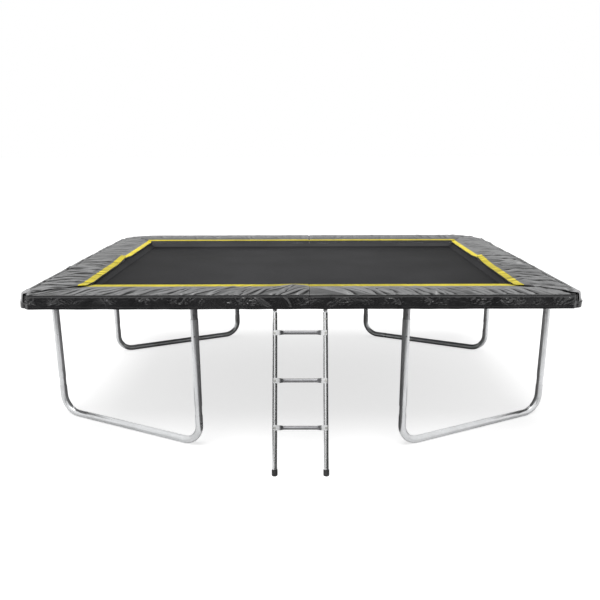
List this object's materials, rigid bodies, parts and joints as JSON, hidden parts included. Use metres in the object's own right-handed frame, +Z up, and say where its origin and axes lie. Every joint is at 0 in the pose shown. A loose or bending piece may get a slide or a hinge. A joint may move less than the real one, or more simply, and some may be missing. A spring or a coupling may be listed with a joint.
{
  "type": "trampoline",
  "caption": "Rectangular garden trampoline with a sprung jumping mat, padded edges over the springs, bent-tube legs and a hook-on ladder.",
  "frame": {"origin": "on the floor, below the middle of the overall size, the ladder included", "axes": "+X to the right along the long sides, +Y to the back, away from the ladder, +Z up"},
  "size_m": [3.05, 2.4262, 0.8901],
  "materials": {
    "galvanised_steel": "galvanised, satin",
    "ladder_steel": "galvanised, satin",
    "zinc_wire": "zinc plated",
    "zinc_screws": "zinc plated",
    "mat_weave": "woven, matt",
    "webbing": "woven, matt",
    "cover_sheet": "satin coated sheet",
    "skirt_sheet": "satin coated sheet",
    "edging_sheet": "satin coated sheet",
    "foam": "closed-cell foam, matt",
    "backing_sheet": "woven, matt",
    "rubber_caps": "matt"
  },
  "bodies": {
    "frame": {"corner_tube_back_left": "galvanised_steel", "corner_tube_back_right": "galvanised_steel", "corner_tube_front_left": "galvanised_steel", "corner_tube_front_right": "galvanised_steel", "leg_base_back_left": "galvanised_steel", "leg_base_back_right": "galvanised_steel", "leg_base_front_left": "galvanised_steel", "leg_base_front_right": "galvanised_steel", "leg_screws": "zinc_screws", "leg_sockets": "galvanised_steel", "leg_tube_back_left_long_side": "galvanised_steel", "leg_tube_back_left_short_side": "galvanised_steel", "leg_tube_back_right_long_side": "galvanised_steel", "leg_tube_back_right_short_side": "galvanised_steel", "leg_tube_front_left_long_side": "galvanised_steel", "leg_tube_front_left_short_side": "galvanised_steel", "leg_tube_front_right_long_side": "galvanised_steel", "leg_tube_front_right_short_side": "galvanised_steel", "pad_backings": "backing_sheet", "pad_cover_back_left": "cover_sheet", "pad_cover_back_right": "cover_sheet", "pad_cover_front_left": "cover_sheet", "pad_cover_front_right": "cover_sheet", "pad_cover_left_back": "cover_sheet", "pad_cover_left_front": "cover_sheet", "pad_cover_right_back": "cover_sheet", "pad_cover_right_front": "cover_sheet", "pad_edging": "edging_sheet", "pad_foams": "foam", "pad_ties": "webbing", "rail_back_left": "galvanised_steel", "rail_back_right": "galvanised_steel", "rail_front_left": "galvanised_steel", "rail_front_right": "galvanised_steel", "rail_joiners": "galvanised_steel", "rail_left": "galvanised_steel", "rail_right": "galvanised_steel", "skirt_back": "skirt_sheet", "skirt_front": "skirt_sheet", "skirt_left": "skirt_sheet", "skirt_right": "skirt_sheet", "springs_back": "zinc_wire", "springs_front": "zinc_wire", "springs_left": "zinc_wire", "springs_right": "zinc_wire"},
    "mat": {"mat": "mat_weave", "mat_hem": "webbing", "mat_loops": "webbing", "mat_rings": "zinc_wire"},
    "ladder": {"ladder_foot_cap_left": "rubber_caps", "ladder_foot_cap_right": "rubber_caps", "ladder_hook_left": "ladder_steel", "ladder_hook_right": "ladder_steel", "ladder_screws": "zinc_screws", "ladder_tube_left": "ladder_steel", "ladder_tube_right": "ladder_steel", "rung_bottom": "ladder_steel", "rung_middle": "ladder_steel", "rung_top": "ladder_steel"}
  },
  "joints": [
    {"name": "mat_bounce", "type": "slide", "parent": "frame", "child": "mat", "axis": [0, 0, 1], "range_m": [-0.25, 0], "stiffness_N_per_m": 6000, "deforming": ["springs_back", "springs_front", "springs_left", "springs_right"]},
    {"name": "ladder_swing", "type": "hinge", "parent": "frame", "child": "ladder", "pos_m": [0, -0.88491, 0.845], "axis": [-1, 0, 0], "range_deg": [0, 30], "deforming": ["skirt_front"]}
  ]
}
